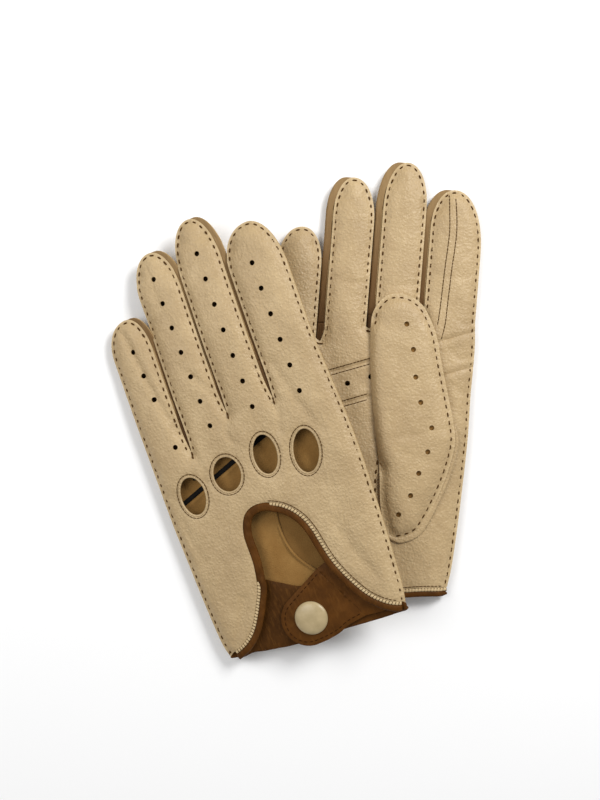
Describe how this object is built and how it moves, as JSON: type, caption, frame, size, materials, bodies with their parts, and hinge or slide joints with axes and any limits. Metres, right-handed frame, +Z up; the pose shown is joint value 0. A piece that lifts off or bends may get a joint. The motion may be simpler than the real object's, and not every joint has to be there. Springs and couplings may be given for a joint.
{
  "type": "leather driving gloves, pair",
  "caption": "Cream leather driving gloves with brown binding, knuckle openings and press-stud wrist straps, one laid over the other.",
  "frame": {"origin": "centre of the pair's footprint, on the plane it lies on", "axes": "+X towards the thumb sides, +Y towards the fingertips, +Z up from the table"},
  "size_m": [0.196, 0.265, 0.033],
  "materials": {
    "cream_leather": "pebbled deerskin, low sheen",
    "brown_leather": "smooth cognac brown, soft sheen",
    "black_tape": "woven elastic and tape",
    "cap_lacquer": "satin lacquered press-stud cap",
    "brass": "satin"
  },
  "bodies": {
    "left_hand": {"left_hand_back": "cream_leather", "left_palm_heel": "cream_leather", "left_palm_band": "cream_leather", "left_palm_top": "cream_leather", "left_hand_seam": "cream_leather", "left_palm_tape": "black_tape", "left_wrist_elastic": "black_tape", "left_back_binding": "brown_leather", "left_palm_binding": "brown_leather", "left_thumb_pad": "cream_leather", "left_under_flap": "brown_leather", "left_snap_stud": "brass", "left_strap_base": "brown_leather"},
    "left_little_finger": {"left_little_back": "cream_leather", "left_little_front": "cream_leather", "left_little_sides": "cream_leather"},
    "left_ring_finger": {"left_ring_back": "cream_leather", "left_ring_front": "cream_leather", "left_ring_sides": "cream_leather"},
    "left_middle_finger": {"left_middle_back": "cream_leather", "left_middle_front": "cream_leather", "left_middle_sides": "cream_leather"},
    "left_index_finger": {"left_index_back": "cream_leather", "left_index_front": "cream_leather", "left_index_sides": "cream_leather"},
    "left_thumb": {"left_thumb_front": "cream_leather", "left_thumb_back": "cream_leather"},
    "left_strap": {"left_strap": "brown_leather", "left_snap_cap": "cap_lacquer", "left_snap_socket": "brass"},
    "right_hand": {"right_hand_back": "cream_leather", "right_palm_heel": "cream_leather", "right_palm_band": "cream_leather", "right_palm_top": "cream_leather", "right_hand_seam": "cream_leather", "right_palm_tape": "black_tape", "right_wrist_elastic": "black_tape", "right_back_binding": "brown_leather", "right_palm_binding": "brown_leather", "right_thumb_pad": "cream_leather", "right_under_flap": "brown_leather", "right_snap_stud": "brass", "right_strap_base": "brown_leather"},
    "right_little_finger": {"right_little_back": "cream_leather", "right_little_front": "cream_leather", "right_little_sides": "cream_leather"},
    "right_ring_finger": {"right_ring_back": "cream_leather", "right_ring_front": "cream_leather", "right_ring_sides": "cream_leather"},
    "right_middle_finger": {"right_middle_back": "cream_leather", "right_middle_front": "cream_leather", "right_middle_sides": "cream_leather"},
    "right_index_finger": {"right_index_back": "cream_leather", "right_index_front": "cream_leather", "right_index_sides": "cream_leather"},
    "right_thumb": {"right_thumb_front": "cream_leather", "right_thumb_back": "cream_leather"},
    "right_strap": {"right_strap": "brown_leather", "right_snap_cap": "cap_lacquer", "right_snap_socket": "brass"}
  },
  "joints": [
    {"name": "left_glove_lift", "type": "slide", "parent": "right_hand", "child": "left_hand", "axis": [0, 0, 1], "range_m": [0, 0.06]},
    {"name": "left_little_bend", "type": "hinge", "parent": "left_hand", "child": "left_little_finger", "pos_m": [-0.07559, -0.00328, 0.01129], "axis": [0.9137, 0.3326, 0.2334], "range_deg": [0, 60]},
    {"name": "left_ring_bend", "type": "hinge", "parent": "left_hand", "child": "left_ring_finger", "pos_m": [-0.05409, 0.00986, 0.01722], "axis": [0.9137, 0.3326, 0.2334], "range_deg": [0, 60]},
    {"name": "left_middle_bend", "type": "hinge", "parent": "left_hand", "child": "left_middle_finger", "pos_m": [-0.03579, 0.03462, 0.02338], "axis": [0.9137, 0.3326, 0.2334], "range_deg": [0, 60]},
    {"name": "left_index_bend", "type": "hinge", "parent": "left_hand", "child": "left_index_finger", "pos_m": [-0.00947, 0.04419, 0.03011], "axis": [0.9137, 0.3326, 0.2334], "range_deg": [0, 60]},
    {"name": "left_thumb_swing", "type": "hinge", "parent": "left_hand", "child": "left_thumb", "pos_m": [0.01317, -0.03802, 0.01751], "axis": [0.2194, 0.0798, -0.9724], "range_deg": [0, 35]},
    {"name": "left_strap_open", "type": "hinge", "parent": "left_hand", "child": "left_strap", "pos_m": [0.02437, -0.09599, 0.02304], "axis": [-0.7312, 0.6733, -0.1097], "range_deg": [0, 120]},
    {"name": "right_little_bend", "type": "hinge", "parent": "right_hand", "child": "right_little_finger", "pos_m": [-0.00062, 0.04643, 0.0075], "axis": [0.9969, -0.0785, 0], "range_deg": [0, 15]},
    {"name": "right_ring_bend", "type": "hinge", "parent": "right_hand", "child": "right_ring_finger", "pos_m": [0.02509, 0.04942, 0.0075], "axis": [0.9969, -0.0785, 0], "range_deg": [0, 75]},
    {"name": "right_middle_bend", "type": "hinge", "parent": "right_hand", "child": "right_middle_finger", "pos_m": [0.05274, 0.0643, 0.0075], "axis": [0.9969, -0.0785, 0], "range_deg": [0, 75]},
    {"name": "right_index_bend", "type": "hinge", "parent": "right_hand", "child": "right_index_finger", "pos_m": [0.08145, 0.06204, 0.0075], "axis": [0.9969, -0.0785, 0], "range_deg": [0, 75]},
    {"name": "right_thumb_swing", "type": "hinge", "parent": "right_hand", "child": "right_thumb", "pos_m": [0.06522, -0.02195, 0.01065], "axis": [0, 0, -1], "range_deg": [0, 35]},
    {"name": "right_strap_open", "type": "hinge", "parent": "right_hand", "child": "right_strap", "pos_m": [0.05292, -0.07946, 0.0031], "axis": [0.3991, -0.9169, 0], "range_deg": [0, 120]}
  ]
}
